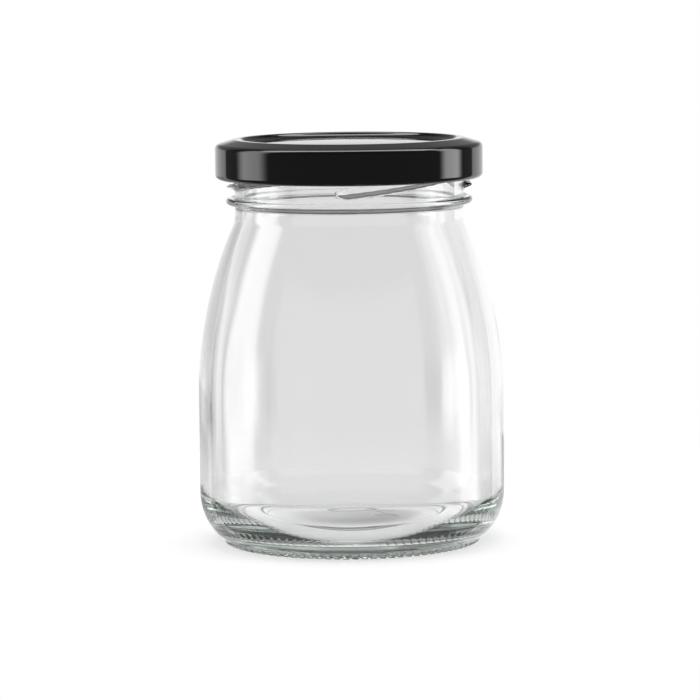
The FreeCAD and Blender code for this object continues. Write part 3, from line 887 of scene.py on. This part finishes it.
def dimmed(shape, patch, loss):
    """A shape that loses a share of its light where the patch is one."""
    kept = add(sky, "ShaderNodeMath", {0: patch, 1: -loss, 2: 1.0}, operation="MULTIPLY_ADD")
    return combined([shape, kept])


# %% The room: what reflections see
BACKDROP = 0.93             # the lower part of the wall behind
BACKDROP_HIGH = 0.2         # and its upper part
BACKDROP_EDGE = 132         # where it ends on both sides
BACKDROP_TOP = 64
CORNER_LOSS = 0.5           # the dark corner of the room at the back on the left
OVERHEAD = 6.0              # a strip above the jar, from left to right
mirror_back = add(sky, "ShaderNodeMapRange", {"Value": rise, "From Min": 4.0, "From Max": 12.0,
                                              "To Min": BACKDROP, "To Max": BACKDROP_HIGH})
mirror_back = combined([mirror_back, between(around_back, BACKDROP_EDGE, PAST_BACK, 1.5),
                        between(rise, PAST_BELOW, BACKDROP_TOP, 6.0)])
corner = combined([between(bearing, -170, -139, 2.0), between(rise, -60, -6.0, 0.4)])
mirror_back = dimmed(mirror_back, corner, CORNER_LOSS)
mirror_left = panel((-107, -79), (-13, 40), 3.0, edges=(7.0, 3.0))
mirror_right = panel((88, 110), (-13, 40), 4.0, edges=(5.0, 3.0))
aslant = add(sky, "ShaderNodeMath", {0: toward["Y"], 1: toward["Z"]}, operation="DIVIDE")
overhead = combined([between(aslant, -0.2, 0.3, 0.03), between(rise, 42, 100, 2.0), OVERHEAD])
room_fill = add(sky, "ShaderNodeMapRange", {"Value": rise, "From Min": -2.0, "From Max": 30.0,
                                            "To Min": 0.13, "To Max": 0.07})
mirrored = combined([room_fill, mirror_back, mirror_left, mirror_right, overhead], "ADD")

# %% [markdown]
# Light that comes through the glass and light that bounces off it call for different rooms. A
# clear jar on white would vanish if the backdrop seen through it were as white as the one
# around it, so the middle of that backdrop is a pale grey, and its sides are nearly white.

# %% The room: what is seen through the glass
SEEN_MIDDLE = 0.71
SEEN_SIDES = 0.95
SEEN_EDGE = 118             # where the backdrop ends on both sides
SEEN_TOP = 26.0
SEEN_FRONT = 0.86
STRIP = 1.1
HIGH_STRIP_LEFT = 1.4       # more light higher up, which the inside of the wall mirrors
HIGH_STRIP_RIGHT = 2.6
SEEN_FILL = 0.5
seen_back = add(sky, "ShaderNodeMapRange", {"Value": around_back, "From Min": 168.0,
                                            "From Max": 174.0, "To Min": SEEN_SIDES,
                                            "To Max": SEEN_MIDDLE},
                interpolation_type="SMOOTHSTEP")
seen_back = combined([seen_back, between(around_back, SEEN_EDGE, PAST_BACK, 1.5),
                      between(rise, PAST_BELOW, SEEN_TOP, 5.0)])
seen_back = dimmed(seen_back, between(bearing, -167, -140, 2.0), CORNER_LOSS)
seen_front = panel((-62, 62), (PAST_BELOW, SEEN_TOP), SEEN_FRONT, edges=(1.5, 5.0))
seen_left = panel((-112, -80), (-60, 40), STRIP)
seen_right = panel((83, 103), (-60, 40), STRIP)
high_left = panel((-110, -82), (-14, 40), HIGH_STRIP_LEFT, edges=(3.0, 3.0))
high_right = panel((76, 90), (-14, 40), HIGH_STRIP_RIGHT, edges=(7.0, 3.0))
seen_fill = combined([room_fill, SEEN_FILL])
refracted = combined([seen_fill, seen_back, seen_front, seen_left, seen_right, high_left,
                      high_right], "ADD")

# %% [markdown]
# A ray that has just passed through glass counts as a glossy ray too, so the mix below asks
# about transmission last and lets it win. Everything else, such as the table, gets a plain
# soft light, and the camera sees plain white.

# %% The room: white for the camera, panels for the glass, soft light for the rest
SOFT_LIGHT = 0.3
path = add(sky, "ShaderNodeLightPath").outputs
shown = add(sky, "ShaderNodeMix", {"Factor": path["Is Glossy Ray"], 2: SOFT_LIGHT, 3: mirrored})
shown = add(sky, "ShaderNodeMix", {"Factor": path["Is Transmission Ray"], 2: shown,
                                   3: refracted})
shown = add(sky, "ShaderNodeMix", {"Factor": path["Is Camera Ray"], 2: shown, 3: 1.0})
light = add(sky, "ShaderNodeBackground", {"Color": linear("FFFFFF"), "Strength": shown})
add(sky, "ShaderNodeOutputWorld", {"Surface": light})
print("world has", len(sky.nodes), "nodes")

# %% [markdown]
# ## The table
# The table is a white painted board that keeps the jar's soft shadow. A thick glass base is a
# strong lens, and through it one sees small parts of the table, very large. Real glass throws
# rings of light and shade onto the table under itself, and with the jar's own shadow they draw
# the floor of the jar. Such rings take a path tracer very long to find, so they are painted here,
# with a painted shadow under the middle and a painted contact shadow round the foot, as a glow
# that only rays through the glass see. It goes by the distance from the jar's axis.

# %% The table: a plain board
FLOOR_SIZE = 8.0
mesh = bpy.data.meshes.new("table")
half = FLOOR_SIZE / 2
mesh.from_pydata([(-half, -half, 0), (half, -half, 0), (half, half, 0), (-half, half, 0)], [],
                 [(0, 1, 2, 3)])
table = bpy.data.objects.new("table", mesh)
bpy.context.scene.collection.objects.link(table)
white = bpy.data.materials.new("white_painted_board")
white.use_nodes = True
tree = white.node_tree
tree.nodes.clear()
path = add(tree, "ShaderNodeLightPath").outputs
place = add(tree, "ShaderNodeTexCoord").outputs["Object"]
spread = add(tree, "ShaderNodeVectorMath", {0: place}, operation="LENGTH").outputs["Value"]
place = add(tree, "ShaderNodeSeparateXYZ", {0: place}).outputs
# Rays through the glass see the board's paint darkened, so that the painted glow below gives it
# its painted light and shade instead.
shade = add(tree, "ShaderNodeMix", {"Factor": path["Is Transmission Ray"],
                                    "A": linear("F2F2F2"), "B": linear("484848")},
            data_type="RGBA")
paint = add(tree, "ShaderNodeBsdfDiffuse", {"Color": shade.outputs["Result"]})

# %% The table: the painted rings of light and shade under the base
RAMP_REACH = 0.1            # metres from the axis to the end of the ramp
# Painted light and painted shadow, by distance from the axis: a dimmer middle under the jar, a
# thin dark ring just inside the push-up's edge, bright bands, and a dark painted contact shadow
# where the foot meets the table.
PAINTED_RINGS_AND_SHADOW = ((0.0, 0.56), (0.24, 0.62), (0.34, 0.95), (0.406, 1.0), (0.409, 0.3),
             (0.414, 0.3), (0.417, 1.0), (0.52, 1.0), (0.58, 0.6), (0.605, 0.05), (0.67, 0.05),
             (0.76, 0.80), (0.85, 0.85))
BEHIND_FILL = 0.77          # the table behind the jar, where no ring shows
BEHIND_FROM = (30.0, 50.0)  # mm behind the axis
# Painted shade: the glow in the middle under the jar is darker towards the right.
RIGHT_SHADE = 0.72          # the middle is darker towards the right
SHADE_HALF = 24.0           # mm
SHADE_EDGE = (30.0, 36.0)   # mm from the axis
near = add(tree, "ShaderNodeMath", {0: spread, 1: 1 / RAMP_REACH}, operation="MULTIPLY")
near = add(tree, "ShaderNodeValToRGB", {0: near})
ramp = near.color_ramp
for position, level in PAINTED_RINGS_AND_SHADOW[1:-1]:
    ramp.elements.new(position)
for element, (position, level) in zip(ramp.elements, PAINTED_RINGS_AND_SHADOW):
    element.position = position
    element.color = (level, level, level, 1.0)
across = add(tree, "ShaderNodeMapRange", {"Value": place["X"], "From Min": -SHADE_HALF * MM,
                                          "From Max": SHADE_HALF * MM, "To Min": 1.0,
                                          "To Max": RIGHT_SHADE},
             interpolation_type="SMOOTHSTEP")
beyond = add(tree, "ShaderNodeMapRange", {"Value": spread, "From Min": SHADE_EDGE[0] * MM,
                                          "From Max": SHADE_EDGE[1] * MM})
across = add(tree, "ShaderNodeMix", {"Factor": beyond, 2: across, 3: 1.0})
near = add(tree, "ShaderNodeMath", {0: near, 1: across}, operation="MULTIPLY")
behind = add(tree, "ShaderNodeMapRange", {"Value": place["Y"], "From Min": BEHIND_FROM[0] * MM,
                                          "From Max": BEHIND_FROM[1] * MM})
near = add(tree, "ShaderNodeMix", {"Factor": behind, 2: near, 3: BEHIND_FILL})

# %% [markdown]
# The camera sees the board lifted to the white of the room around it. Further out the table
# gives way to the room for rays that come through the glass, so that the wall of the jar shows
# the backdrop, and reflections see no table at all. Light and shadow rays always find it.

# %% The table: what each kind of ray sees
BACKGROUND_FILL = 0.44
GIVES_WAY = (0.16, 0.45)    # metres from the axis
fill = add(tree, "ShaderNodeMath", {0: path["Is Camera Ray"], 1: BACKGROUND_FILL},
           operation="MULTIPLY")
fill = add(tree, "ShaderNodeMath", {0: path["Is Transmission Ray"], 1: near, 2: fill},
           operation="MULTIPLY_ADD")
glow = add(tree, "ShaderNodeEmission", {"Color": linear("FFFFFF"), "Strength": fill})
board = add(tree, "ShaderNodeAddShader", {0: paint, 1: glow})
far = add(tree, "ShaderNodeMapRange", {"Value": spread, "From Min": GIVES_WAY[0],
                                       "From Max": GIVES_WAY[1]},
          interpolation_type="SMOOTHSTEP")
unseen = add(tree, "ShaderNodeMath", {0: path["Is Glossy Ray"], 1: path["Is Transmission Ray"]},
             operation="SUBTRACT")
lit = add(tree, "ShaderNodeMath", {0: path["Is Diffuse Ray"], 1: path["Is Shadow Ray"]},
          operation="MAXIMUM")
kept = add(tree, "ShaderNodeMath", {0: 1.0, 1: lit}, operation="SUBTRACT")
gone = add(tree, "ShaderNodeMath", {0: far, 1: unseen}, operation="MAXIMUM")
gone = add(tree, "ShaderNodeMath", {0: gone, 1: kept}, operation="MULTIPLY")
room = add(tree, "ShaderNodeBsdfTransparent")
board = add(tree, "ShaderNodeMixShader", {0: gone, 1: board, 2: room})
add(tree, "ShaderNodeOutputMaterial", {"Surface": board})
mesh.materials.append(white)
print("table material has", len(tree.nodes), "nodes")

# %% [markdown]
# ## Lamps and camera
# Three broad soft lamps light the table and what is dull, and cast the shadow. The glass and
# the lacquer don't see them, since the room already gives those their highlights.

# %% Lamps for the table and the shadow
def lamp(name, place, aim, width, height, watts):
    data = bpy.data.lights.new(name, "AREA")
    data.shape = "RECTANGLE"
    data.size = width
    data.size_y = height
    data.energy = watts
    made = bpy.data.objects.new(name, data)
    bpy.context.scene.collection.objects.link(made)
    made.location = place
    made.rotation_euler = (Vector(aim) - Vector(place)).to_track_quat("-Z", "Y").to_euler()
    made.visible_glossy = False
    made.visible_transmission = False
    made.visible_camera = False
    return made


MIDDLE = (0, 0, lid_top * MM / 2)
lamp("overhead", (0, 0.1, 1.6), MIDDLE, 1.4, 1.4, 11)
lamp("left", (-1.3, -0.3, 0.7), MIDDLE, 0.7, 1.2, 4)
lamp("right", (1.3, -0.3, 0.7), MIDDLE, 0.7, 1.2, 4)

# %% The camera
CAMERA_PLACE = Vector((-0.0004, -1.832, 0.293))
CAMERA_PITCH = 6.32
CAMERA_ROLL = -0.6
LENS = 201.4
camera_data = bpy.data.cameras.new("camera")
camera_data.lens = LENS
camera = bpy.data.objects.new("camera", camera_data)
bpy.context.scene.collection.objects.link(camera)
camera.location = CAMERA_PLACE
camera.rotation_mode = "XYZ"
camera.rotation_euler = (math.radians(90 - CAMERA_PITCH), 0, 0)
camera.rotation_euler.rotate_axis("Z", math.radians(CAMERA_ROLL))
bpy.context.scene.camera = camera

# %% [markdown]
# A ray through the jar meets four faces of glass, and many more where it is caught in the
# thick base, so it needs more bounces than usual, or the base would have black spots.

# %% Enough bounces for two walls of glass
scene = bpy.context.scene
scene.view_settings.view_transform = "Standard"
scene.cycles.max_bounces = 24
scene.cycles.transmission_bounces = 24
scene.cycles.glossy_bounces = 12
scene.cycles.transparent_max_bounces = 24
